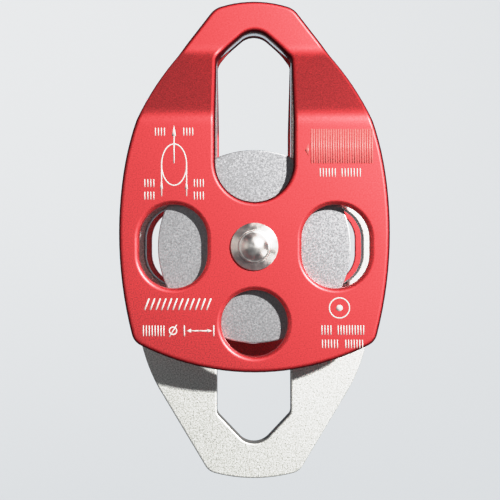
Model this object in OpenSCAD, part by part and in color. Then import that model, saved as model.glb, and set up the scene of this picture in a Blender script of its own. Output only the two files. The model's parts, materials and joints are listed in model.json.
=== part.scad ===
// Double rope pulley. Two ball-bearing sheaves turn side by side on one axle, with a
// centre plate between them that carries the anchor eye above and the becket eye below.
// A cheek covers each sheave: it swings on the axle, and its top is joggled inwards so
// that it lies on the centre plate and the three eyes line up.
// Millimetres. +Z points to the anchor eye, the front faces -Y, and +X is to the right.
// The origin is the centre of the anchor eye's crown, halfway through the centre plate.
// Heights named below are measured from the axle, which lies along Y.

/* [Stack] */
// Largest rope, which sets the width of each sheave
rope_d = 15; // [13:0.5:16]
// Thickness of the centre plate
center_t = 6; // [5:0.5:8]
// Thickness of each cheek's sheet
cheek_t = 3.5; // [3:0.25:4]
// Free space on each side of a sheave
side_gap = 1.25; // [1:0.05:1.5]
// Clearance between a cheek's top and the centre plate
lap_gap = 0.25; // [0.1:0.05:0.4]

/* [Cheeks] */
// Widest part of a cheek
cheek_w = 100; // [98:0.5:102]
// Height of the widest part
cheek_waist = 5; // [3:0.5:7]
// Top edge
cheek_up = 95.2; // [94:0.1:97]
// Bottom edge, below the axle
cheek_down = 46.5; // [45:0.1:48]
// Radius of the long sides
side_r = 150; // [140:1:160]
// Height where the long side turns into the shoulder
shoulder_up = 27; // [24:0.5:30]
// Radius of the shoulder
shoulder_r = 110; // [105:1:115]
// Angle of the straight taper to the top, from vertical
taper_up = 38; // [36:0.5:40]
// Radius of the top edge
top_r = 44; // [40:1:48]
// Radius of the top corners
top_corner_r = 8; // [6:0.5:9]
// Radius of the bottom edge
bottom_r = 93; // [88:1:98]
// Radius of the bottom corners
bottom_corner_r = 6; // [5:0.5:8]
// Lower bend, on the outer face
bend_low = 48.3; // [47:0.1:49.5]
// Upper bend, on the outer face
bend_high = 75.6; // [75:0.1:77]
// Bend radius, at the middle of the sheet
bend_r = 6; // [5:0.25:8]

/* [Centre plate] */
// Widest part of the centre plate
center_w = 98; // [96:0.5:100]
// Bottom edge of the becket, below the axle
becket_down = 90.8; // [90:0.1:93]
// Where the becket's shoulder starts, below the axle
shoulder_down = 41; // [39:0.5:43]
// Radius of the becket's shoulder
becket_shoulder_r = 70; // [65:1:75]
// Angle of the becket's taper, from vertical
taper_down = 31; // [30:0.5:33]
// Radius of the becket's bottom edge
becket_r = 60; // [56:1:64]
// Radius of the becket's bottom corners
becket_corner_r = 6; // [5:0.5:7]

/* [Eyes and windows] */
// Width of both eyes
eye_w = 29; // [27:0.5:30]
// Height of the centre of each eye's round foot, up or down from the axle
eye_foot = 31; // [30:0.5:33]
// Radius of an eye's crown
crown_r = 8; // [7:0.5:9]
// Centre of the anchor eye's crown
anchor_up = 75.6; // [74.5:0.1:76.5]
// Angle of the anchor eye's tapered top, from vertical
anchor_taper = 49; // [47:0.5:51]
// Centre of the becket eye's crown, below the axle
becket_crown = 69.2; // [68:0.1:70]
// Angle of the becket eye's tapered foot, from vertical
becket_taper = 43.5; // [42:0.5:45]
// Radius between an eye's straight side and its taper
eye_corner_r = 3.5; // [2:0.5:5]
// Width of each side window
window_w = 25.2; // [24:0.2:26]
// Height of each side window
window_h = 31; // [29:0.5:32]
// Distance of the side windows from the axle
window_x = 30; // [29.5:0.1:30.5]
// Diameter of the round window under the axle
port_d = 24.6; // [23:0.2:25]
// Its distance below the axle
port_down = 28.4; // [28:0.1:29]

/* [Sheaves] */
// Outer diameter
sheave_d = 72; // [70:0.5:73]
// Radius of the groove
groove_r = 6.3; // [6:0.1:6.4]
// Diameter at the bottom of the groove
tread_d = 54; // [53:0.5:56]
// Chamfer on the rim
rim_chamfer = 0.5; // [0.3:0.1:0.6]

/* [Axle] */
// Diameter of the axle
axle_d = 12; // [12:0.5:12]
// Diameter of the necks under the riveted heads
neck_d = 9; // [8:0.5:10]
// Diameter of the head washers
washer_d = 17.6; // [17:0.2:19]
// Thickness of the head washers
washer_t = 2.4; // [2:0.1:2.8]
// Diameter of the riveted heads
head_d = 11.7; // [11:0.1:12]
// Height of the riveted heads above their washers
head_h = 3.3; // [3:0.1:4]
// Outside diameter of the spacers
spacer_d = 17; // [16:0.5:17.5]

/* [Hidden] */
// Largest gap between a drawn arc and the true one
chord_tol = 0.02;
$fn = 96;

// Deep-groove ball bearing, 12 x 32 x 10
bearing_d = 32;
bearing_w = 10;
pitch_r = 11;
ball_d = 5.953;
ball_count = 7;
race_r = 3.07;
inner_shoulder_r = 9.1;
outer_shoulder_r = 13;
shield_seat_r = 13.5;
shield_in = 4.2;
shield_t = 0.5;
cage_low = -1.2;
cage_high = 3.75;
cage_w = 2.5;

// Retaining ring that holds the bearing in its sheave
clip_t = 1.2;
clip_w = 2.2;
clip_depth = 0.9;
clip_gap = 34;
lug_r = 1.9;
lug_hole_r = 0.8;

// Fits: radius of free space round the axle, and end play
press = 0.01;
running = 0.05;
end_play = 0.1;

// Half the stack, from the middle of the centre plate outwards
center_face = center_t / 2;
sheave_w = rope_d;
sheave_y = center_face + side_gap + sheave_w / 2;
cheek_in = center_face + 2 * side_gap + sheave_w;
cheek_out = cheek_in + cheek_t;
washer_y = cheek_out + end_play;
through = 4 * cheek_out;

axle_r = axle_d / 2;
neck_r = neck_d / 2;
washer_r = washer_d / 2;
head_r = head_d / 2;
sheave_r = sheave_d / 2;
bearing_r = bearing_d / 2;
groove_c = tread_d / 2 + groove_r;
lip_r = bearing_r - 1.5;

// ---- outlines -------------------------------------------------------------

// Points along an arc round c, without the last one
function arc(c, r, a0, a1) =
    let (n = max(1, ceil(abs(a1 - a0) / (2 * acos(1 - chord_tol / r)))))
    [for (i = [0:n - 1]) let (a = a0 + (a1 - a0) * i / n) c + r * [cos(a), sin(a)]];

function heading(from, to) = atan2(to.y - from.y, to.x - from.x);

// Where two circles meet, on the left of the way from a to b
function meet(a, ra, b, rb) =
    let (d = norm(b - a), u = (b - a) / d, x = (ra * ra - rb * rb + d * d) / (2 * d))
    a + x * u + sqrt(ra * ra - x * x) * [-u.y, u.x];

function flip(points) = [for (p = points) [p.x, -p.y]];

function reversed(points) = [for (i = [len(points) - 1:-1:0]) points[i]];

// Right half of a plate's end, from its waist up to the middle of its end edge:
// long side, shoulder, straight taper, corner and end edge, each tangent to the next
function plate_end(half_w, waist, shoulder, sh_r, taper, corner_r, end_r, end) =
    let (side_c = [half_w - side_r, waist],
         turn = asin((shoulder - waist) / side_r),
         shoulder_c = side_c + (side_r - sh_r) * [cos(turn), sin(turn)],
         end_c = [0, end - end_r],
         n = [cos(taper), sin(taper)],
         inset = n * shoulder_c + sh_r - corner_r - n * end_c,
         along = sqrt(pow(end_r - corner_r, 2) - inset * inset),
         corner_c = end_c + inset * n + along * [-n.y, n.x],
         corner_end = heading(end_c, corner_c))
    concat(arc(side_c, side_r, 0, turn),
           arc(shoulder_c, sh_r, turn, taper),
           arc(corner_c, corner_r, taper, corner_end),
           arc(end_c, end_r, corner_end, 90),
           [[0, end]]);

// Right half of the cheek's bottom, from the middle of its edge up to its waist
function cheek_bottom() =
    let (side_c = [cheek_w / 2 - side_r, cheek_waist],
         edge_c = [0, bottom_r - cheek_down],
         corner_c = meet(edge_c, bottom_r - bottom_corner_r,
                         side_c, side_r - bottom_corner_r),
         corner_start = heading(edge_c, corner_c),
         corner_end = heading(side_c, corner_c))
    concat(arc(edge_c, bottom_r, -90, corner_start),
           arc(corner_c, bottom_corner_r, corner_start, corner_end),
           arc(side_c, side_r, corner_end, 0));

function top_end(half_w) =
    plate_end(half_w, cheek_waist, shoulder_up, shoulder_r, taper_up,
              top_corner_r, top_r, cheek_up);

function becket_end() =
    plate_end(center_w / 2, 0, shoulder_down, becket_shoulder_r, taper_down,
              becket_corner_r, becket_r, becket_down);

// Whole outline from its right half, whose first and last points are on the middle
function whole(half) =
    concat(half, [for (i = [len(half) - 2:-1:1]) [-half[i].x, half[i].y]]);

// Opening with a round foot, straight sides and a tapered, round crown
function eye(crown, taper) =
    let (half_w = eye_w / 2,
         corner_z = crown + (crown_r - eye_corner_r
                    - cos(taper) * (half_w - eye_corner_r)) / sin(taper),
         corner_x = half_w - eye_corner_r)
    concat(arc([0, eye_foot], half_w, 180, 360),
           arc([corner_x, corner_z], eye_corner_r, 0, taper),
           arc([0, crown], crown_r, taper, 180 - taper),
           arc([-corner_x, corner_z], eye_corner_r, 180 - taper, 180),
           [[-half_w, corner_z]]);

function window() =
    let (r = window_w / 2, rise = (window_h - window_w) / 2)
    concat(arc([0, -rise], r, 180, 360), [[r, -rise]],
           arc([0, rise], r, 0, 180), [[-r, rise]]);

// Section through the front cheek's sheet, as [y, z], offset outwards from its middle
function cheek_side(offset) =
    let (low_y = -(cheek_out - cheek_t / 2),
         high_y = -(center_face + lap_gap + cheek_t / 2),
         slope = atan((high_y - low_y) / (bend_high - bend_low)),
         back = tan(slope / 2),
         low_c = [low_y + bend_r, bend_low - (cheek_t / 2 + bend_r) * back],
         high_c = [high_y - bend_r, bend_high - (cheek_t / 2 - bend_r) * back],
         high_r = bend_r - offset)
    concat([[low_y - offset, -cheek_down - 1]],
           arc(low_c, bend_r + offset, 180, 180 - slope),
           [low_c + (bend_r + offset) * [-cos(slope), sin(slope)]],
           arc(high_c, high_r, -slope, 0),
           [high_c + [high_r, 0], [high_y - offset, cheek_up + 1]]);

// ---- helpers --------------------------------------------------------------

module at_axle() {
    translate([0, 0, -anchor_up]) children();
}

module rear() {
    mirror([0, 1, 0]) children();
}

// Draws children along the axle: their +Z points out of the front, from distance y
module outwards(y) {
    at_axle() translate([0, -y, 0]) rotate([90, 0, 0]) children();
}

// An outline in X and Z, as a plate or a cut through the middle of the stack
module slab(points, t) {
    rotate([90, 0, 0]) linear_extrude(height = t, center = true) polygon(points);
}

module windows() {
    for (side = [-1, 1])
        translate([side * window_x, 0, 0]) slab(window(), through);
}

module axle_bore(r) {
    rotate([90, 0, 0]) cylinder(r = r, h = through, center = true);
}

// A ring from r_in to r_out, from height low to high
module ring(r_in, r_out, low, high) {
    rotate_extrude()
        translate([r_in, low]) square([r_out - r_in, high - low]);
}

// ---- plates ---------------------------------------------------------------

module center_plate() {
    outline = concat(reversed(flip(becket_end())), top_end(center_w / 2));
    color("silver") at_axle() difference() {
        slab(whole(outline), center_t);
        slab(eye(anchor_up, anchor_taper), through);
        slab(flip(eye(becket_crown, becket_taper)), through);
        windows();
        axle_bore(axle_r + press);
    }
}

module front_cheek() {
    section = concat(cheek_side(cheek_t / 2), reversed(cheek_side(-cheek_t / 2)));
    color("crimson") at_axle() difference() {
        intersection() {
            slab(whole(concat(cheek_bottom(), top_end(cheek_w / 2))), through);
            rotate([90, 0, 90])
                linear_extrude(height = 2 * cheek_w, center = true) polygon(section);
        }
        slab(eye(anchor_up, anchor_taper), through);
        windows();
        translate([0, 0, -port_down]) axle_bore(port_d / 2);
        axle_bore(axle_r + running);
    }
}

// ---- axle -----------------------------------------------------------------

// Riveted head: a low skirt, a hollow curve up to a round button
module riveted_head() {
    skirt_h = 0.5;
    button_r = 4.3;
    button_base = 1.9;
    button_rise = head_h - button_base;
    cap_r = (button_r * button_r + button_rise * button_rise) / (2 * button_rise);
    cap_a = asin(button_r / cap_r);
    rotate_extrude()
        polygon(concat([[0, 0], [head_r, 0], [head_r, skirt_h],
                        [button_r + 0.5, button_base - 0.5]],
                       arc([0, head_h - cap_r], cap_r, 90 - cap_a, 90),
                       [[0, head_h]]));
}

module axle() {
    color("gainsboro") {
        outwards(-washer_y) cylinder(r = axle_r, h = 2 * washer_y);
        for (turn = [0, 180])
            at_axle() rotate([0, 0, turn]) translate([0, -washer_y, 0])
                rotate([90, 0, 0]) {
                    cylinder(r = neck_r, h = washer_t);
                    translate([0, 0, washer_t]) riveted_head();
                }
    }
}

// Washer with a bevelled, rounded outer slope
module front_head_washer() {
    edge_t = 0.9;
    slope_r = head_r + 0.2;
    color("lightgray") outwards(washer_y) rotate_extrude()
        polygon([[neck_r + press, 0], [washer_r - 0.3, 0], [washer_r, 0.3],
                 [washer_r, edge_t], [washer_r - 0.6, edge_t + 0.7],
                 [slope_r, washer_t], [neck_r + press, washer_t]]);
}

module spacer(from, to) {
    color("darkgray") outwards(0) ring(axle_r + press, spacer_d / 2, from, to);
}

module front_inner_spacer() {
    spacer(center_face, sheave_y - bearing_w / 2);
}

module front_outer_spacer() {
    spacer(sheave_y + bearing_w / 2, cheek_in - end_play);
}

// ---- sheaves and their bearings, drawn round the middle of the front sheave ----

module front_sheave() {
    half = sheave_w / 2;
    seat = -bearing_w / 2;
    clip = bearing_w / 2;
    color("lightsteelblue") outwards(sheave_y) difference() {
        rotate_extrude()
            polygon([[lip_r, -half], [sheave_r - rim_chamfer, -half],
                     [sheave_r, rim_chamfer - half], [sheave_r, half - rim_chamfer],
                     [sheave_r - rim_chamfer, half], [bearing_r, half],
                     [bearing_r, seat], [lip_r, seat]]);
        rotate_extrude() translate([groove_c, 0]) circle(r = groove_r);
        rotate_extrude()
            polygon([[groove_c, -groove_r], [sheave_r + 1, -groove_r - 0.3],
                     [sheave_r + 1, groove_r + 0.3], [groove_c, groove_r]]);
        ring(bearing_r - 1, bearing_r + clip_depth, clip, clip + clip_t + 0.1);
    }
}

module front_bearing_inner_ring() {
    color("gray") outwards(sheave_y) difference() {
        ring(axle_r + press, inner_shoulder_r, -bearing_w / 2, bearing_w / 2);
        rotate_extrude() translate([pitch_r, 0]) circle(r = race_r);
    }
}

module front_bearing_outer_ring() {
    half = bearing_w / 2;
    color("dimgray") outwards(sheave_y) difference() {
        ring(outer_shoulder_r, bearing_r - press, -half, half);
        rotate_extrude() translate([pitch_r, 0]) circle(r = race_r);
        for (low = [-half - 1, shield_in])
            ring(outer_shoulder_r - 1, shield_seat_r, low, low + half - shield_in + 1);
    }
}

module around_pitch() {
    for (i = [0:ball_count - 1])
        rotate([0, 0, 360 * i / ball_count]) translate([pitch_r, 0, 0]) children();
}

module front_bearing_balls() {
    color("white") outwards(sheave_y) around_pitch() sphere(d = ball_d);
}

// Crown cage: a ring with a round pocket for each ball, closed on its outer side
module front_bearing_cage() {
    color("khaki") outwards(sheave_y) difference() {
        ring(pitch_r - cage_w / 2, pitch_r + cage_w / 2, cage_low, cage_high);
        around_pitch() sphere(r = race_r);
    }
}

module shield(low) {
    color("slategray") outwards(sheave_y)
        ring(inner_shoulder_r + 0.25, shield_seat_r - press, low, low + shield_t);
}

module front_bearing_outer_shield() {
    shield(shield_in);
}

module front_bearing_inner_shield() {
    shield(-shield_in - shield_t);
}

// Retaining ring with a gap, and an eyed lug on each side of the gap
module front_retaining_ring() {
    clip_r = bearing_r + clip_depth - 0.05;
    lug_a = clip_gap / 2 + 5;
    lug_at = bearing_r - clip_w + 0.2;
    color("darkslategray") outwards(sheave_y) translate([0, 0, bearing_w / 2 + 0.05])
        difference() {
            union() {
                difference() {
                    cylinder(r = clip_r, h = clip_t);
                    translate([0, 0, -1]) cylinder(r = clip_r - clip_w, h = clip_t + 2);
                    translate([0, 0, -1]) linear_extrude(height = clip_t + 2)
                        polygon([[0, 0],
                                 clip_r * 2 * [-sin(clip_gap / 2), -cos(clip_gap / 2)],
                                 clip_r * 2 * [sin(clip_gap / 2), -cos(clip_gap / 2)]]);
                }
                for (side = [-1, 1])
                    rotate([0, 0, side * lug_a]) translate([0, -lug_at, 0])
                        cylinder(r = lug_r, h = clip_t);
            }
            for (side = [-1, 1])
                rotate([0, 0, side * lug_a]) translate([0, -lug_at, -1])
                    cylinder(r = lug_hole_r, h = clip_t + 2);
        }
}

center_plate();
front_cheek();
rear() front_cheek();  // rear_cheek
axle();
front_head_washer();
rear() front_head_washer();  // rear_head_washer
front_outer_spacer();
front_inner_spacer();
rear() front_inner_spacer();  // rear_inner_spacer
rear() front_outer_spacer();  // rear_outer_spacer
front_sheave();
rear() front_sheave();  // rear_sheave
front_bearing_inner_ring();
front_bearing_outer_ring();
front_bearing_balls();
front_bearing_cage();
front_bearing_outer_shield();
front_bearing_inner_shield();
rear() front_bearing_inner_ring();  // rear_bearing_inner_ring
rear() front_bearing_outer_ring();  // rear_bearing_outer_ring
rear() front_bearing_balls();  // rear_bearing_balls
rear() front_bearing_cage();  // rear_bearing_cage
rear() front_bearing_outer_shield();  // rear_bearing_outer_shield
rear() front_bearing_inner_shield();  // rear_bearing_inner_shield
front_retaining_ring();
rear() front_retaining_ring();  // rear_retaining_ring
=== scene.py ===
"""Looks of a double rope pulley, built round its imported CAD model.

Metres, in the CAD model's frame: +Z points to the anchor eye, and the front faces -Y.
"""

import json
import math
from bisect import bisect_right

import bmesh
import bpy
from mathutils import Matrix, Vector

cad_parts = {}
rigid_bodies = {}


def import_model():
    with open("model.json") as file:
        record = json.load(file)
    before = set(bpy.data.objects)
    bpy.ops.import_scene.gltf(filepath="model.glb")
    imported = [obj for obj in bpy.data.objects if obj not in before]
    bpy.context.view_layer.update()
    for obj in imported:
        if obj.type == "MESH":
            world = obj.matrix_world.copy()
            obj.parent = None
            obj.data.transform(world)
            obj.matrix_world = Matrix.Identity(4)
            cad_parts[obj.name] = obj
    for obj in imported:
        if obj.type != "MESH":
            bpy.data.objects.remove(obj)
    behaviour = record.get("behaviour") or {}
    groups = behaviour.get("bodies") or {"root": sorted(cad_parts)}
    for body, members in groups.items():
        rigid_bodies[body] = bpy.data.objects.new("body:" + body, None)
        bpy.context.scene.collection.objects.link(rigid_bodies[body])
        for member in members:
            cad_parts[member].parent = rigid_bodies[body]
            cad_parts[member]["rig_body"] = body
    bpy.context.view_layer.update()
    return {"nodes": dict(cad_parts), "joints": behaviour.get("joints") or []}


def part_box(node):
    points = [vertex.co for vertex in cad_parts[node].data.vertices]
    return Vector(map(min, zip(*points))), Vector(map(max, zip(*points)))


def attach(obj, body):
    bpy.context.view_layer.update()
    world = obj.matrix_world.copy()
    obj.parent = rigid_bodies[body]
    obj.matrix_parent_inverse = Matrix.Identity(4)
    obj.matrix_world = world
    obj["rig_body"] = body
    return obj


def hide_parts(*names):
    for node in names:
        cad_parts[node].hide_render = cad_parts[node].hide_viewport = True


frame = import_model()

MM = 0.001
FRONT = -1
REAR = 1
AXLE = Vector(frame["joints"][0]["pos_m"])
CHEEK_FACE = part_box("front_cheek")[0].y

# Steps round a plate's rounded edge, how far each bend is eased up and down, and the most
# that a bend's strip of the CAD mesh is high
FILLET_STEPS = 8
BEND_EASE = 2 * MM
BEND_STRIP = 2.5 * MM

# A cut wall faces the front or the rear less than WALL_FACING, and a skin faces it more
# than SKIN_FACING
WALL_FACING = 0.3
SKIN_FACING = 0.7

# A strip of the profile this many times as high as its neighbour is taken as straight
MUCH_HIGHER = 3

# A strip of a bend is halved when its height is between these
HALVE_OVER = 0.4 * MM
HALVE_UNDER = 3 * MM

# What counts as the same corner of a mesh, an edge of no length, the same point of an
# outline, the same height and, as a sine and as a slope, the same direction
WELD = 0.005 * MM
NO_LENGTH = 0.002 * MM
SAME_POINT = 0.1 * MM
SAME_HEIGHT = 0.02 * MM
STRAIGHT = 0.004
SAME_SLOPE = 0.01

# Steps round a turned piece, radians between the points of its fillets, and the most of a
# side that one fillet takes
LATHE_SEGMENTS = 128
FILLET_TURN = 0.25
FILLET_SHARE = 0.48

# Camera, level and square to the front, with the axle at FRAME_AXLE of the frame
CAMERA_DISTANCE = 320 * MM
CAMERA_OFFSET = Vector((-3.2 * MM, 0, 0))
FRAME_WIDTH_AT_CHEEK = 183.8 * MM
FRAME_AXLE = Vector((0.009, 0.007))
SENSOR = 36


# ---- meshes ---------------------------------------------------------------

def finish_mesh(name, bm, material, body, replaces=(), weighted=True):
    """A bmesh as a smooth-shaded piece that rides on a body."""
    bmesh.ops.recalc_face_normals(bm, faces=bm.faces)
    for face in bm.faces:
        face.smooth = True
    mesh = bpy.data.meshes.new(name)
    bm.to_mesh(mesh)
    bm.free()
    piece = bpy.data.objects.new(name, mesh)
    bpy.context.scene.collection.objects.link(piece)
    mesh.materials.append(material)
    if weighted:
        modifier = piece.modifiers.new("flat faces stay flat", "WEIGHTED_NORMAL")
        modifier.weight = 100
    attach(piece, body)
    if replaces:
        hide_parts(*replaces)
    return piece


def welded(node):
    """A CAD node's mesh as a bmesh with shared corners."""
    bm = bmesh.new()
    bm.from_mesh(node.data)
    bmesh.ops.remove_doubles(bm, verts=bm.verts, dist=WELD)
    bmesh.ops.dissolve_degenerate(bm, dist=NO_LENGTH, edges=bm.edges)
    bm.normal_update()
    return bm


def skin_loops(bm, facing):
    """Closed outlines of points where a plate's outer skin meets its cut walls."""
    following = {}
    for edge in bm.edges:
        if len(edge.link_faces) != 2:
            continue
        wall, skin = sorted(face.normal.y * facing for face in edge.link_faces)
        if abs(wall) < WALL_FACING and skin > SKIN_FACING:
            a, b = edge.verts
            following.setdefault(a, []).append(b)
            following.setdefault(b, []).append(a)
    loops = []
    while following:
        start = next(iter(following))
        loop, previous, at = [], None, start
        while at in following:
            loop.append(at.co.copy())
            onward = [v for v in following.pop(at) if v is not previous and v in following]
            if not onward:
                break
            previous, at = at, onward[0]
        loops.append(loop)
    return loops


def tidy_loop(loop, clockwise):
    """The loop in x and z, turned the asked way, without points that add no shape."""
    flat = []
    for p in loop:
        q = Vector((p.x, p.z))
        if not flat or (q - flat[-1]).length > SAME_POINT:
            flat.append(q)
    count = len(flat)
    kept = []
    for i, q in enumerate(flat):
        before, after = q - flat[i - 1], flat[(i + 1) % count] - q
        if before.length < SAME_POINT:
            continue
        if abs(before.normalized().cross(after.normalized())) > STRAIGHT:
            kept.append(q)
    area = sum(kept[i - 1].cross(kept[i]) for i in range(len(kept)))
    if (area < 0) != clockwise:
        kept.reverse()
    return kept


def loop_width(loop):
    return max(p.x for p in loop) - min(p.x for p in loop)


def loop_normals(loop):
    """At each point of a loop, the unit vector into the plate, scaled for a corner."""
    normals = []
    for i, p in enumerate(loop):
        before = (p - loop[i - 1]).normalized()
        after = (loop[(i + 1) % len(loop)] - p).normalized()
        along = (before + after).normalized()
        normals.append(Vector((-along.y, along.x)) / max(0.5, along.dot(after)))
    return normals


class SkinProfile:
    """How a plate's outer skin runs in y with height, round where its points bend."""

    def __init__(self, loops):
        heights = {}
        for loop in loops:
            for p in loop:
                heights.setdefault(round(p.z / SAME_HEIGHT), (p.z, p.y))
        points = [heights[key] for key in sorted(heights)]
        knots = [points[0]]
        for i in range(1, len(points) - 1):
            before = self.rise(knots[-1], points[i])
            after = self.rise(points[i], points[i + 1])
            if abs(before - after) > SAME_SLOPE:
                knots.append(points[i])
        knots.append(points[-1])
        self.z = [k[0] for k in knots]
        self.y = [k[1] for k in knots]
        steps = [self.rise(knots[i], knots[i + 1]) for i in range(len(knots) - 1)]
        spans = [self.z[i + 1] - self.z[i] for i in range(len(knots) - 1)]
        self.slope = [steps[0]]
        for i in range(1, len(knots) - 1):
            if spans[i] > MUCH_HIGHER * spans[i - 1]:
                self.slope.append(steps[i])
            elif spans[i - 1] > MUCH_HIGHER * spans[i]:
                self.slope.append(steps[i - 1])
            else:
                self.slope.append((steps[i] + steps[i - 1]) / 2)
        self.slope.append(steps[-1])

    @staticmethod
    def rise(a, b):
        return (b[1] - a[1]) / max(b[0] - a[0], 1e-9)

    def at(self, z):
        """(y, slope) at height z, with each bend eased into its neighbours."""
        samples = [self.sharp(z + BEND_EASE * k / 4) for k in range(-4, 5)]
        return tuple(sum(values) / len(samples) for values in zip(*samples))

    def sharp(self, z):
        i = min(max(bisect_right(self.z, z) - 1, 0), len(self.z) - 2)
        span = self.z[i + 1] - self.z[i]
        t = min(max((z - self.z[i]) / span, 0), 1)
        y0, y1 = self.y[i], self.y[i + 1]
        m0, m1 = self.slope[i] * span, self.slope[i + 1] * span
        y = ((1 + 2 * t) * (1 - t) ** 2 * y0 + t * (1 - t) ** 2 * m0
             + t * t * (3 - 2 * t) * y1 + t * t * (t - 1) * m1)
        slope = (6 * t * (t - 1) * (y0 - y1) + (1 - t) * (1 - 3 * t) * m0
                 + t * (3 * t - 2) * m1) / span
        return y, slope

    def bend_levels(self):
        """Heights that cut each bend into fine strips."""
        levels = []
        for low, high in zip(self.z, self.z[1:]):
            if high - low < BEND_STRIP:
                levels += [low - BEND_EASE, low, high, high + BEND_EASE]
        levels.sort()
        spans = list(zip(levels, levels[1:]))
        levels += [(low + high) / 2 for low, high in spans
                   if HALVE_OVER < high - low < HALVE_UNDER]
        return sorted(set(levels))


# The anchor eye's middle is further above the axle than this, and the becket eye's is
# further below
EYE_APART = 20 * MM


# The four functions below get whether an edge is the outline or a hole, the height of
# the hole's middle, and the share of the way from the flat face to the edge.

def cheek_rounding(at_outline, middle):
    """How far an edge's rounding reaches in, how deep it is, and the share at the back."""
    return 1.7 * MM, 1.5 * MM, 0.25


def cheek_painted_shade(at_outline, middle, share):
    """How much painted shade darkens the edge: most at the outline and in the anchor eye, a
    little round the other holes.
    """
    if at_outline:
        return min(1, 1.5 * share)
    return min(1, share * (1.3 if middle > AXLE.z + EYE_APART else 0.35))


def plate_rounding(at_outline, middle):
    """The same as cheek_rounding; the anchor eye is rounded well, for connectors."""
    if at_outline or middle < AXLE.z + EYE_APART:
        return 0.7 * MM, 0.6 * MM, 1.0
    return 2.0 * MM, 1.7 * MM, 1.0


def plate_painted_shade(at_outline, middle, share):
    """Painted shade: grey at the outline and dark on the becket eye's wall; rubbed bright in the
    anchor eye.
    """
    if at_outline:
        return 0.75 * share
    if middle > AXLE.z + EYE_APART:
        return -share
    return float(share > 0.9 and middle < AXLE.z - EYE_APART)


def rounded_plate(name, node_name, facing, rounding, edge_tone, material):
    """The plate or sheet of a CAD node, with every edge rounded."""
    bm_cad = welded(frame["nodes"][node_name])
    loops_3d = skin_loops(bm_cad, facing)
    low = min(v.co.z for v in bm_cad.verts)
    foot = [v.co.y for v in bm_cad.verts if v.co.z < low + MM]
    thickness = max(foot) - min(foot)
    bm_cad.free()
    profile = SkinProfile(loops_3d)
    outer = max(loops_3d, key=loop_width)

    quarter = [(math.pi / 2) * k / FILLET_STEPS for k in range(FILLET_STEPS + 1)]
    front = [(1 - math.sin(a), 1 - math.cos(a)) for a in quarter]

    bm = bmesh.new()
    edge = bm.verts.layers.float.new("edge")
    front_rims, back_rims = [], []
    for loop_3d in loops_3d:
        at_outline = loop_3d is outer
        loop = tidy_loop(loop_3d, clockwise=not at_outline)
        middle = sum(p.y for p in loop) / len(loop)
        reach, drop, back = rounding(at_outline, middle)
        rings = [(inset * reach, drop * depth, 1 - inset) for inset, depth in front]
        rings += [(inset * back, thickness - depth * back, share)
                  for inset, depth, share in reversed(rings)]
        inward = loop_normals(loop)
        rows = []
        for inset, depth, share in rings:
            row = []
            for p, n in zip(loop, inward):
                q = p + n * inset
                vertex = bm.verts.new((q.x, depth, q.y))
                # The edge attribute holds how much painted shade darkens this point.
                vertex[edge] = edge_tone(at_outline, middle, share)
                row.append(vertex)
            rows.append(row)
        for row, next_row in zip(rows, rows[1:]):
            for i in range(len(loop)):
                bm.faces.new((row[i - 1], row[i], next_row[i], next_row[i - 1]))
        for rims, row in ((front_rims, rows[0]), (back_rims, rows[-1])):
            rims += [bm.edges.get((row[i - 1], row[i])) for i in range(len(row))]
    for rims in (front_rims, back_rims):
        bmesh.ops.triangle_fill(bm, use_beauty=True, use_dissolve=False, edges=rims)
    for level in profile.bend_levels():
        geometry = bm.verts[:] + bm.edges[:] + bm.faces[:]
        bmesh.ops.bisect_plane(bm, geom=geometry, dist=1e-7,
                               plane_co=(0, 0, level), plane_no=(0, 0, 1))
    for vertex in bm.verts:
        x, depth, z = vertex.co
        y, slope = profile.at(z)
        back = Vector((1, -slope)).normalized() * -facing
        vertex.co = (x, y + back.x * depth, z + back.y * depth)
    body = frame["nodes"][node_name]["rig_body"]
    return finish_mesh(name, bm, material, body, [node_name])


def rounded_corners(corners, closed):
    """Points of a profile whose (radius, height, fillet) corners are rounded off."""
    points = []
    count = len(corners)
    for i, (r, h, fillet) in enumerate(corners):
        at = Vector((r, h))
        ends = not closed and i in (0, count - 1)
        if ends or fillet <= 0:
            points.append(at)
            continue
        back = Vector(corners[i - 1][:2]) - at
        onward = Vector(corners[(i + 1) % count][:2]) - at
        half = back.angle(onward) / 2
        cut = min(fillet / math.tan(half), FILLET_SHARE * back.length,
                  FILLET_SHARE * onward.length)
        radius = cut * math.tan(half)
        a, b = at + back.normalized() * cut, at + onward.normalized() * cut
        inward = (back.normalized() + onward.normalized()).normalized()
        middle = at + inward * radius / math.sin(half)
        start = math.atan2(a.y - middle.y, a.x - middle.x)
        turn = math.remainder(math.atan2(b.y - middle.y, b.x - middle.x) - start, 2 * math.pi)
        steps = max(2, round(abs(turn) / FILLET_TURN))
        for k in range(steps + 1):
            angle = start + turn * k / steps
            points.append(middle + radius * Vector((math.cos(angle), math.sin(angle))))
    return points


def turned(name, node_name, profile, closed, middle, facing, material):
    """A piece turned on a lathe about the axle, from (radius, height) points."""
    bm = bmesh.new()
    rows = []
    angles = [2 * math.pi * k / LATHE_SEGMENTS for k in range(LATHE_SEGMENTS)]
    for r, h in profile:
        y = middle + facing * h
        if r < 1e-6:
            rows.append([bm.verts.new((0, y, AXLE.z))])
            continue
        rows.append([bm.verts.new((r * math.cos(a), y, AXLE.z + r * math.sin(a)))
                     for a in angles])
    pairs = list(zip(rows, rows[1:]))
    if closed:
        pairs.append((rows[-1], rows[0]))
    for row, next_row in pairs:
        for k in range(LATHE_SEGMENTS):
            m = (k + 1) % LATHE_SEGMENTS
            if len(row) == 1:
                bm.faces.new((row[0], next_row[m], next_row[k]))
            elif len(next_row) == 1:
                bm.faces.new((row[k], row[m], next_row[0]))
            else:
                bm.faces.new((row[k], row[m], next_row[m], next_row[k]))
    body = frame["nodes"][node_name]["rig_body"]
    return finish_mesh(name, bm, material, body, [node_name])


# ---- materials ------------------------------------------------------------

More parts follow.
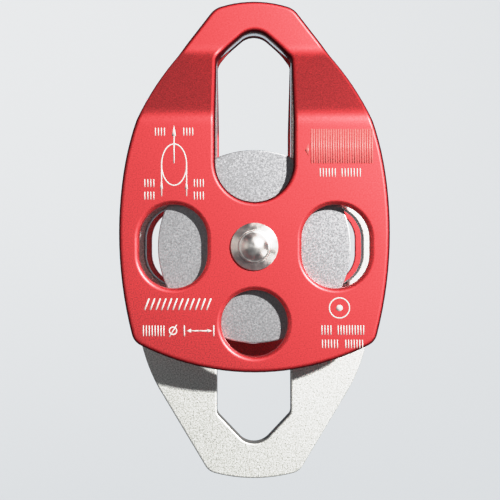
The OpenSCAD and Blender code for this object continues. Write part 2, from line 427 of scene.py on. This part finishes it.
def new_material(name):
    material = bpy.data.materials.new(name)
    material.use_nodes = True
    tree = material.node_tree
    shader = tree.nodes["Principled BSDF"]
    return material, tree, shader


def link(tree, source, target):
    tree.links.new(source, target)


def feed(tree, value, socket):
    """Links an output to a socket, or sets a plain value on it."""
    if hasattr(value, "links"):
        link(tree, value, socket)
    else:
        socket.default_value = value


def noise(tree, scale, detail=2.0, roughness=0.5):
    """Noise over the object's own coordinates, with scale in cells a metre."""
    coordinates = tree.nodes.new("ShaderNodeTexCoord")
    node = tree.nodes.new("ShaderNodeTexNoise")
    node.inputs["Scale"].default_value = scale
    node.inputs["Detail"].default_value = detail
    node.inputs["Roughness"].default_value = roughness
    link(tree, coordinates.outputs["Object"], node.inputs["Vector"])
    return node.outputs["Fac"]


def ramp(tree, value, stops):
    """Value run through a colour ramp of (place, colour) stops."""
    node = tree.nodes.new("ShaderNodeValToRGB")
    elements = node.color_ramp.elements
    while len(elements) < len(stops):
        elements.new(0.5)
    for element, (place, colour) in zip(elements, stops):
        element.position = place
        element.color = (*colour, 1)
    link(tree, value, node.inputs["Fac"])
    return node.outputs["Color"]


def spread(tree, value, low, high, from_low=0.3, from_high=0.7):
    node = tree.nodes.new("ShaderNodeMapRange")
    node.inputs["From Min"].default_value = from_low
    node.inputs["From Max"].default_value = from_high
    node.inputs["To Min"].default_value = low
    node.inputs["To Max"].default_value = high
    link(tree, value, node.inputs["Value"])
    return node.outputs["Result"]


def mixed(tree, a, b, factor, mode="MIX"):
    node = tree.nodes.new("ShaderNodeMix")
    node.data_type = "RGBA"
    node.blend_type = mode
    for value, place in ((factor, 0), (a, 6), (b, 7)):
        feed(tree, value, node.inputs[place])
    return node.outputs[2]


def combined(tree, operation, a, b):
    node = tree.nodes.new("ShaderNodeMath")
    node.operation = operation
    feed(tree, a, node.inputs[0])
    feed(tree, b, node.inputs[1])
    return node.outputs["Value"]


def bump(tree, shader, layers):
    """Stack (height, distance, strength) layers of bump onto a shader."""
    normal = None
    for height, distance, strength in layers:
        node = tree.nodes.new("ShaderNodeBump")
        node.inputs["Distance"].default_value = distance
        node.inputs["Strength"].default_value = strength
        link(tree, height, node.inputs["Height"])
        if normal:
            link(tree, normal, node.inputs["Normal"])
        normal = node.outputs["Normal"]
    link(tree, normal, shader.inputs["Normal"])


def tone(colour, factor):
    return tuple(min(1, c * factor) for c in colour)


def blasted_metal(name, colour, metallic, roughness, grain, contrast, depth, edge_tone=None,
                  coat=0.0):
    """Bead-blasted metal: grain is the size of its dimples and depth their bump, in metres.

    With an edge_tone, the mesh's edge attribute fades the metal to it as painted shade
    along the edges, thins the coat and dulls the shine. Below zero it makes the metal
    shinier instead.
    """
    material, tree, shader = new_material(name)
    fine = noise(tree, 1 / grain, 3)
    patch = noise(tree, 1 / (60 * grain), 2)
    base = ramp(tree, fine, [(0.3, tone(colour, 1 - contrast)), (0.5, colour),
                             (0.7, tone(colour, 1 + contrast))])
    shade = ramp(tree, patch, [(0.35, (0.94, 0.94, 0.94)), (0.65, (1, 1, 1))])
    base = mixed(tree, base, shade, 1.0, "MULTIPLY")
    if edge_tone:
        edge = tree.nodes.new("ShaderNodeAttribute")
        edge.attribute_name = "edge"
        # Painted shade: the edge attribute darkens the metal towards edge_tone.
        painted_edge_shade = combined(tree, "MAXIMUM", edge.outputs["Fac"], 0)
        fade = combined(tree, "MULTIPLY", painted_edge_shade, painted_edge_shade)
        base = mixed(tree, base, (*edge_tone, 1), fade)
        if coat:
            link(tree, spread(tree, fade, coat, 0, 0, 1), shader.inputs["Coat Weight"])
            shader.inputs["Coat Roughness"].default_value = 0.42
    link(tree, base, shader.inputs["Base Color"])
    shader.inputs["Metallic"].default_value = metallic
    uneven = 0.02 if coat else 0.06
    rough = spread(tree, noise(tree, 0.7 / grain, 2), roughness - uneven, roughness + uneven)
    if edge_tone:
        duller = combined(tree, "MULTIPLY", edge.outputs["Fac"], 0.35)
        rough = combined(tree, "ADD", rough, duller)
    link(tree, rough, shader.inputs["Roughness"])
    bump(tree, shader, [(noise(tree, 0.9 / grain, 2), depth, 0.6),
                        (noise(tree, 1 / (8 * grain), 2), depth * 2, 0.25)])
    return material


def polished_metal(name, colour, roughness):
    material, tree, shader = new_material(name)
    base = ramp(tree, noise(tree, 900, 3), [(0.35, tone(colour, 0.94)), (0.6, colour)])
    link(tree, base, shader.inputs["Base Color"])
    shader.inputs["Metallic"].default_value = 1
    smear = spread(tree, noise(tree, 300, 3), roughness * 0.7, roughness * 1.3)
    link(tree, smear, shader.inputs["Roughness"])
    bump(tree, shader, [(noise(tree, 2500, 2), 0.001 * MM, 0.3)])
    return material


RED = (0.80, 0.045, 0.052)
# The edge tones below are painted shade, the dark colours that the plates' edges fade to.
cheek_red = blasted_metal("anodised_red", RED, 1.0, 0.44, 0.48 * MM, 0.34, 0.006 * MM,
                          edge_tone=(0.09, 0.004, 0.007), coat=0.8)
plate_silver = blasted_metal("blasted_silver", (0.70, 0.71, 0.685), 0.85, 0.49,
                             0.5 * MM, 0.42, 0.04 * MM, edge_tone=(0.16, 0.16, 0.155))
sheave_silver = blasted_metal("tumbled_silver", (0.40, 0.405, 0.42), 0.85, 0.42,
                              0.5 * MM, 0.23, 0.012 * MM)
spacer_silver = blasted_metal("turned_silver", (0.6, 0.6, 0.62), 0.9, 0.35,
                              0.4 * MM, 0.06, 0.006 * MM)
stainless = polished_metal("polished_stainless", (0.90, 0.87, 0.84), 0.38)
ball_chrome = polished_metal("bearing_chrome", (0.85, 0.86, 0.88), 0.06)
ring_steel = polished_metal("ground_steel", (0.55, 0.56, 0.58), 0.28)
shield_steel = polished_metal("pressed_steel", (0.48, 0.49, 0.51), 0.35)
spring_steel = polished_metal("phosphated_steel", (0.10, 0.10, 0.11), 0.5)
mark_white = blasted_metal("laser_mark", (0.60, 0.50, 0.48), 0.0, 0.5, 0.6 * MM, 0.12,
                           0.01 * MM)
hatch_pink = blasted_metal("light_laser_mark", (0.62, 0.12, 0.115), 0.0, 0.5, 0.6 * MM, 0.3,
                           0.01 * MM)
cage_nylon = blasted_metal("moulded_nylon", (0.72, 0.66, 0.48), 0.0, 0.55,
                           0.3 * MM, 0.05, 0.004 * MM)


# ---- plates ---------------------------------------------------------------

rounded_plate("front_cheek_sheet", "front_cheek", FRONT, cheek_rounding, cheek_painted_shade, cheek_red)
rounded_plate("rear_cheek_sheet", "rear_cheek", REAR, cheek_rounding, cheek_painted_shade, cheek_red)
rounded_plate("center_plate_rounded", "center_plate", FRONT, plate_rounding, plate_painted_shade,
              plate_silver)


# ---- marks on the front cheek ---------------------------------------------

# Each shape stands a little prouder than the last, so that no two tops share a plane
MARK_PROUD = 0.03 * MM
MARK_STEP = 0.0004 * MM
LINE = 0.5 * MM
TICK_LINE = 0.42 * MM
STRAND_LINE = 0.6 * MM
SIGN_LINE = 0.4 * MM
ROUND_STEPS = 40
END_STEPS = 8

# The figures from here to the turned pieces are millimetres
TICK_PITCH = 1.05
STRANDS = 12
LEG_X = 4.6
LEG_END = 11.4
SIGN_RADIUS = 1.35
HATCH_PITCH = 0.9
HATCH_BAR = 0.84
HATCH_THINNING = 0.15


def ellipse(middle, radius_x, radius_z):
    """Points round a middle, in millimetres."""
    turns = [2 * math.pi * k / ROUND_STEPS for k in range(ROUND_STEPS)]
    return [(Vector(middle) + Vector((radius_x * math.cos(a), radius_z * math.sin(a)))) * MM
            for a in turns]


class Marks:
    """Thin raised shapes on the front cheek's face, in x and z from the axle."""

    def __init__(self):
        self.bm = bmesh.new()
        self.proud = MARK_PROUD

    def row(self, outline, y):
        return [self.bm.verts.new((p.x, y, AXLE.z + p.y)) for p in outline]

    def plate(self, outline, hole=None):
        """A flat shape inside an outline of points in metres, less a hole."""
        self.proud += MARK_STEP
        top, base = CHEEK_FACE - self.proud, CHEEK_FACE + MARK_PROUD
        loops = [outline] + ([hole] if hole else [])
        rows = [(self.row(loop, top), self.row(loop, base)) for loop in loops]
        for upper, lower in rows:
            for i in range(len(upper)):
                self.bm.faces.new((upper[i - 1], upper[i], lower[i], lower[i - 1]))
        for level in (0, 1):
            edge = rows[0][level]
            if not hole:
                self.bm.faces.new(edge)
                continue
            inner = rows[1][level]
            for i in range(len(edge)):
                self.bm.faces.new((edge[i - 1], edge[i], inner[i], inner[i - 1]))

    def bar(self, a, b, width=LINE):
        """A straight stroke with round ends, width in metres."""
        a, b = Vector(a) * MM, Vector(b) * MM
        lean = math.atan2(b.y - a.y, b.x - a.x)
        outline = []
        for end, start in ((b, lean - math.pi / 2), (a, lean + math.pi / 2)):
            for k in range(END_STEPS + 1):
                angle = start + math.pi * k / END_STEPS
                outline.append(end + Vector((math.cos(angle), math.sin(angle))) * width / 2)
        self.plate(outline)

    def ring(self, middle, radius_x, radius_z):
        half = LINE / MM / 2
        self.plate(ellipse(middle, radius_x + half, radius_z + half),
                   ellipse(middle, radius_x - half, radius_z - half))

    def dot(self, middle, radius):
        self.plate(ellipse(middle, radius, radius))

    def triangle(self, *corners):
        self.plate([Vector(corner) * MM for corner in corners])

    def arrow(self, tail, tip, head=2.6, half_head=0.75):
        """A stroke with a slim solid head."""
        tail, tip = Vector(tail), Vector(tip)
        way = (tip - tail).normalized()
        side = Vector((-way.y, way.x)) * half_head
        neck = tip - way * head
        self.bar(tail, neck)
        self.triangle(tip, neck + side, neck - side)

    def finish(self, name, material):
        return finish_mesh(name, self.bm, material, "front_cheek",
                           weighted=False)


def ticks(marks, spans, z, height=2.6):
    """A line of plain upright ticks, between the left and the right end of each span."""
    for x0, x1 in spans:
        count = max(2, round((x1 - x0) / TICK_PITCH))
        for k in range(count):
            x = x0 + (x1 - x0) * (k + 0.5) / count
            marks.bar((x, z - height / 2), (x, z + height / 2), TICK_LINE)


def load_sketch(marks, x, z):
    """A sheave with a pull upwards at its axle and a rope leg on each side."""
    marks.ring((x, z), LEG_X, 7.6)
    marks.arrow((x, z + 0.7), (x, z + 14.7), head=4.2, half_head=0.8)
    for side in (-1, 1):
        leg = x + side * LEG_X
        marks.bar((leg, z), (leg, z - LEG_END))
        marks.triangle((leg, z - 5.3), (leg + 0.6, z - 9), (leg - 0.6, z - 9))
        outside = (leg + side * 4.5 - 2.2, leg + side * 4.5 + 2.2)
        ticks(marks, [outside], z - 6.8)
        ticks(marks, [outside], z - LEG_END)
        ticks(marks, [(x + side * 5.2 - 2.2, x + side * 5.2 + 2.2)], z + 12.1)


def rope_sketch(marks, x0, x1, z):
    """A laid rope's strands, side by side."""
    for k in range(STRANDS):
        x = x0 + (x1 - x0) * (k + 0.5) / STRANDS
        marks.bar((x - 0.75, z - 1.9), (x + 0.75, z + 1.9), STRAND_LINE)


def diameter_sketch(marks, x0, x1, z):
    """Plain ticks, the sign for diameter, and a span between two ends."""
    ticks(marks, [(x0, x0 + 8.6)], z, 3.6)
    sign = x0 + 11.4
    marks.ring((sign, z), SIGN_RADIUS, SIGN_RADIUS)
    marks.bar((sign - 1.3, z - 2.1), (sign + 1.3, z + 2.1), SIGN_LINE)
    start = sign + 4.2
    for x in (start, x1):
        marks.bar((x, z - 1.8), (x, z + 1.8))
    middle = (start + x1) / 2
    for tip in (start + 0.5, x1 - 0.5):
        marks.arrow((middle, z), (tip, z), head=2.0, half_head=0.7)


def hatch(marks, x0, x1, z0, z1):
    """A plain block of fine bars, with a small pointer at its left."""
    count = round((x1 - x0) / HATCH_PITCH)
    for k in range(count + 1):
        x = x0 + (x1 - x0) * k / count
        marks.bar((x, z0), (x, z1), (HATCH_BAR - HATCH_THINNING * (k * k % 3)) * MM)
    marks.triangle((x0 - 2.5, z0 + 4.6), (x0 - 1.1, z0 + 2.2), (x0 - 1.1, z0 + 7.0))


marks = Marks()
load_sketch(marks, -29.6, 30.1)
rope_sketch(marks, -40.6, -15.8, -21.2)
diameter_sketch(marks, -41.4, -15.0, -31.0)
ticks(marks, ((23.6, 30.2), (31.6, 39.4)), 27.2, 2.8)
marks.ring((31.2, -22.6), 3.7, 3.7)
marks.dot((31.2, -22.6), 1.2)
ticks(marks, ((24.2, 28.6), (30.2, 40.6)), -30.7, 3.2)
ticks(marks, ((24.4, 31.0), (33.0, 40.2)), -35.8, 2.8)
marks.finish("front_cheek_marks", mark_white)

light_marks = Marks()
hatch(light_marks, 21.0, 43.2, 30.8, 42.9)
light_marks.finish("front_cheek_hatch", hatch_pink)


# ---- turned pieces --------------------------------------------------------

# The rope groove, which flares out a little from its round bottom to the rim
GROOVE_RADIUS = 6.3 * MM
GROOVE_FLARE = 0.06
TREAD_RADIUS = 27 * MM
GROOVE_STEPS = 28
SEAT_LIP = 1.5 * MM
RIM_BEVEL = 0.4 * MM
CLIP_GROOVE_DEPTH = 0.9 * MM
CLIP_GROOVE_WIDTH = 1.3 * MM


def sheave(end, facing):
    """A sheave with its round groove, its bearing's seat and the clip's groove."""
    low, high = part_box(f"{end}_sheave")
    bearing_low, bearing_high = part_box(f"{end}_bearing_outer_ring")
    rim = high.x
    half = (high.y - low.y) / 2
    bearing_r = bearing_high.x
    seat = (bearing_high.y - bearing_low.y) / 2
    groove_middle = TREAD_RADIUS + GROOVE_RADIUS
    flank = GROOVE_RADIUS + GROOVE_FLARE * (rim - groove_middle)
    bevel = [(rim - RIM_BEVEL, half, 0.1 * MM), (rim, half - RIM_BEVEL * 0.3, 0.2 * MM)]
    groove = [(groove_middle - GROOVE_RADIUS * math.sin(a), -GROOVE_RADIUS * math.cos(a), 0)
              for a in (math.pi * k / GROOVE_STEPS for k in range(GROOVE_STEPS + 1))]
    clip = [(bearing_r, seat + CLIP_GROOVE_WIDTH, 0.1 * MM),
            (bearing_r + CLIP_GROOVE_DEPTH, seat + CLIP_GROOVE_WIDTH, 0),
            (bearing_r + CLIP_GROOVE_DEPTH, seat, 0)]
    corners = ([(bearing_r - SEAT_LIP, -half, 0.3 * MM)]
               + [(r, -h, fillet) for r, h, fillet in bevel] + [(rim, -flank, 0.3 * MM)] + groove
               + [(rim, flank, 0.3 * MM)] + bevel[::-1] + [(bearing_r, half, 0.35 * MM)]
               + clip + [(bearing_r, seat, 0), (bearing_r, -seat, 0),
                         (bearing_r - SEAT_LIP, -seat, 0.2 * MM)])
    turned(f"{end}_sheave_turned", f"{end}_sheave", rounded_corners(corners, True), True,
           (low.y + high.y) / 2, facing, sheave_silver)


# The axle's heads: a domed button on a low brim, over a neck that the washer sits on
HEAD_RADIUS = 5.85 * MM
HEAD_RISE = 3.3 * MM
BUTTON_RADIUS = 4.1 * MM
BUTTON_BASE = 1.75 * MM
BRIM_RISE = 0.75 * MM
BRIM_HOLLOW = 1.05 * MM
DOME_STEPS = 9
NECK_RADIUS = 4.5 * MM
SHAFT_RADIUS = 6 * MM

# The washers: the gap round the neck, the upright part of the rim, and the flat round
# the axle's head
WASHER_GAP = 0.01 * MM
WASHER_RIM = 0.7 * MM
WASHER_FLAT = 0.25 * MM


def riveted_head(seat):
    """The domed button, its hollow flank and the skirt, from the tip down to the seat."""
    rise = HEAD_RISE - BUTTON_BASE
    ball = (BUTTON_RADIUS ** 2 + rise ** 2) / (2 * rise)
    tip = seat + HEAD_RISE
    span = math.asin(BUTTON_RADIUS / ball)
    turns = [span * k / DOME_STEPS for k in range(DOME_STEPS)]
    dome = [(ball * math.sin(a), tip - ball + ball * math.cos(a), 0) for a in turns]
    return dome + [(BUTTON_RADIUS, seat + BUTTON_BASE, 0.6 * MM),
                   (BUTTON_RADIUS + BRIM_HOLLOW, seat + BRIM_RISE + 0.1 * MM, 1.0 * MM),
                   (HEAD_RADIUS, seat + BRIM_RISE, 0.35 * MM),
                   (HEAD_RADIUS, seat, 0)]


def axle():
    """The axle with its two heads; the washers' faces give the heads' places."""
    low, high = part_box("front_head_washer")
    shoulder, seat = -high.y, -low.y
    half = riveted_head(seat) + [(NECK_RADIUS, seat, 0), (NECK_RADIUS, shoulder, 0),
                                 (SHAFT_RADIUS, shoulder, 0.2 * MM)]
    corners = half + [(r, -h, f) for r, h, f in reversed(half)]
    turned("axle_turned", "axle", rounded_corners(corners, False), False, 0, FRONT,
           stainless)


def head_washer(end, facing):
    low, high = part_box(f"{end}_head_washer")
    inner_face = min(abs(low.y), abs(high.y))
    outer_face = max(abs(low.y), abs(high.y))
    edge = high.x
    corners = [(NECK_RADIUS + WASHER_GAP, inner_face, 0), (edge, inner_face, 0.25 * MM),
               (edge, inner_face + WASHER_RIM, 0.45 * MM),
               (HEAD_RADIUS + WASHER_FLAT, outer_face, 0.35 * MM),
               (NECK_RADIUS + WASHER_GAP, outer_face, 0)]
    turned(f"{end}_head_washer_turned", f"{end}_head_washer", rounded_corners(corners, True),
           True, 0, facing, stainless)


axle()
for end, facing in (("front", FRONT), ("rear", REAR)):
    sheave(end, facing)
    head_washer(end, facing)


# ---- CAD nodes that keep their shape --------------------------------------

def dress(node_name, material):
    """A better material for a CAD node."""
    node = frame["nodes"][node_name]
    node.data.materials.clear()
    node.data.materials.append(material)


for end in ("front", "rear"):
    dress(f"{end}_inner_spacer", spacer_silver)
    dress(f"{end}_outer_spacer", spacer_silver)
    dress(f"{end}_bearing_inner_ring", ring_steel)
    dress(f"{end}_bearing_outer_ring", ring_steel)
    dress(f"{end}_bearing_balls", ball_chrome)
    dress(f"{end}_bearing_cage", cage_nylon)
    dress(f"{end}_bearing_outer_shield", shield_steel)
    dress(f"{end}_bearing_inner_shield", shield_steel)
    dress(f"{end}_retaining_ring", spring_steel)


# ---- studio ---------------------------------------------------------------

# The floor in metres, the way the key light travels, and points of the view curve:
# the scene's light and the light shown for it
FLOOR_Z = -0.34
FLOOR_RADIUS = 0.4
WALL_BEND = 2.2
WALL_TOP = 2.6
WALL_STEPS = 32
ROUND_FLOOR_STEPS = 96
KEY_WAY = Vector((-0.68, 1.0, -0.53)).normalized()
WARM = (1, 0.985, 0.96)
SHOULDER = ((0, 0), (0.5, 0.5), (1.0, 0.86), (2.0, 0.965), (4.0, 1.0))


def paper_floor():
    """A pale round floor that curves up into a wall all round, seen only by the camera."""
    line = []
    for k in range(WALL_STEPS + 1):
        a = math.pi / 2 * k / WALL_STEPS
        line.append((FLOOR_RADIUS + WALL_BEND * math.sin(a),
                     FLOOR_Z + WALL_BEND * (1 - math.cos(a))))
    line.append((FLOOR_RADIUS + WALL_BEND, WALL_TOP))
    bm = bmesh.new()
    turns = [2 * math.pi * k / ROUND_FLOOR_STEPS for k in range(ROUND_FLOOR_STEPS)]
    rows = [[bm.verts.new((r * math.cos(t), r * math.sin(t), z)) for t in turns]
            for r, z in line]
    bm.faces.new(rows[0])
    for row, next_row in zip(rows, rows[1:]):
        for k in range(len(row)):
            bm.faces.new((row[k - 1], row[k], next_row[k], next_row[k - 1]))
    bmesh.ops.recalc_face_normals(bm, faces=bm.faces)
    for face in bm.faces:
        face.smooth = True
    mesh = bpy.data.meshes.new("floor")
    bm.to_mesh(mesh)
    bm.free()
    floor = bpy.data.objects.new("floor", mesh)
    bpy.context.scene.collection.objects.link(floor)
    material, _, shader = new_material("floor_paper")
    shader.inputs["Base Color"].default_value = (0.12, 0.125, 0.13, 1)
    shader.inputs["Roughness"].default_value = 1.0
    shader.inputs["Specular IOR Level"].default_value = 0.1
    shader.inputs["Emission Color"].default_value = (0.93, 0.965, 1.0, 1)
    shader.inputs["Emission Strength"].default_value = 0.56
    mesh.materials.append(material)
    floor.visible_diffuse = False
    floor.visible_glossy = False
    floor.visible_shadow = False


def area_light(name, offset, size, power, colour):
    """A panel at an offset from the axle, facing it."""
    data = bpy.data.lights.new(name, "AREA")
    data.shape = "RECTANGLE"
    data.size, data.size_y = size
    data.energy = power
    data.color = colour
    lamp = bpy.data.objects.new(name, data)
    lamp.location = AXLE + Vector(offset)
    lamp.rotation_euler = (AXLE - lamp.location).to_track_quat("-Z", "Y").to_euler()
    bpy.context.scene.collection.objects.link(lamp)


def sun_light(name, way, strength, angle, colour):
    data = bpy.data.lights.new(name, "SUN")
    data.energy = strength
    data.angle = math.radians(angle)
    data.color = colour
    lamp = bpy.data.objects.new(name, data)
    lamp.rotation_euler = way.to_track_quat("-Z", "Y").to_euler()
    bpy.context.scene.collection.objects.link(lamp)


def studio_world():
    """Dim on the camera's side and soft and bright behind the object."""
    world = bpy.data.worlds.new("studio")
    world.use_nodes = True
    tree = world.node_tree
    room = tree.nodes["Background"]
    room.inputs["Color"].default_value = (0.78, 0.85, 0.96, 1)
    direction = tree.nodes.new("ShaderNodeTexCoord")
    split = tree.nodes.new("ShaderNodeSeparateXYZ")
    link(tree, direction.outputs["Generated"], split.inputs["Vector"])
    strength = spread(tree, split.outputs["Y"], 0.055, 0.85, 0.1, 1.0)
    link(tree, strength, room.inputs["Strength"])
    bpy.context.scene.world = world


def soft_highlights():
    """Plain colours with a film's soft shoulder."""
    view = bpy.context.scene.view_settings
    view.view_transform = "Standard"
    view.use_curve_mapping = True
    mapping = view.curve_mapping
    top = SHOULDER[-1][0]
    mapping.extend = "HORIZONTAL"
    mapping.white_level = (top, top, top)
    curve = mapping.curves[3]
    for light, shown in SHOULDER[1:-1]:
        curve.points.new(light / top, shown)
    for point in curve.points[:2]:
        point.handle_type = "VECTOR"
    mapping.update()


paper_floor()
sun_light("key", KEY_WAY, 8.8, 2.8, WARM)
area_light("right_panel", (0.86, -0.5, 0.66), (0.4, 0.4), 1.2, WARM)
area_light("side_panel", (0.95, -0.2, -0.6), (0.5, 0.5), 2.5, WARM)
area_light("left_panel", (-1.2, -0.62, 0.15), (0.9, 0.9), 1.8, (1, 0.93, 0.86))
area_light("front_panel", (-0.45, -1.1, 0.1), (0.6, 0.5), 0.55, (1, 1, 1))
studio_world()
soft_highlights()

camera_data = bpy.data.cameras.new("camera")
camera_data.sensor_width = SENSOR
camera_data.lens = SENSOR * CAMERA_DISTANCE / FRAME_WIDTH_AT_CHEEK
camera_data.shift_x = -CAMERA_OFFSET.x / FRAME_WIDTH_AT_CHEEK - FRAME_AXLE.x
camera_data.shift_y = -CAMERA_OFFSET.z / FRAME_WIDTH_AT_CHEEK - FRAME_AXLE.y
camera = bpy.data.objects.new("camera", camera_data)
camera.location = AXLE + CAMERA_OFFSET
camera.location.y = CHEEK_FACE - CAMERA_DISTANCE
camera.rotation_euler = (math.radians(90), 0, 0)
bpy.context.scene.collection.objects.link(camera)
bpy.context.scene.camera = camera
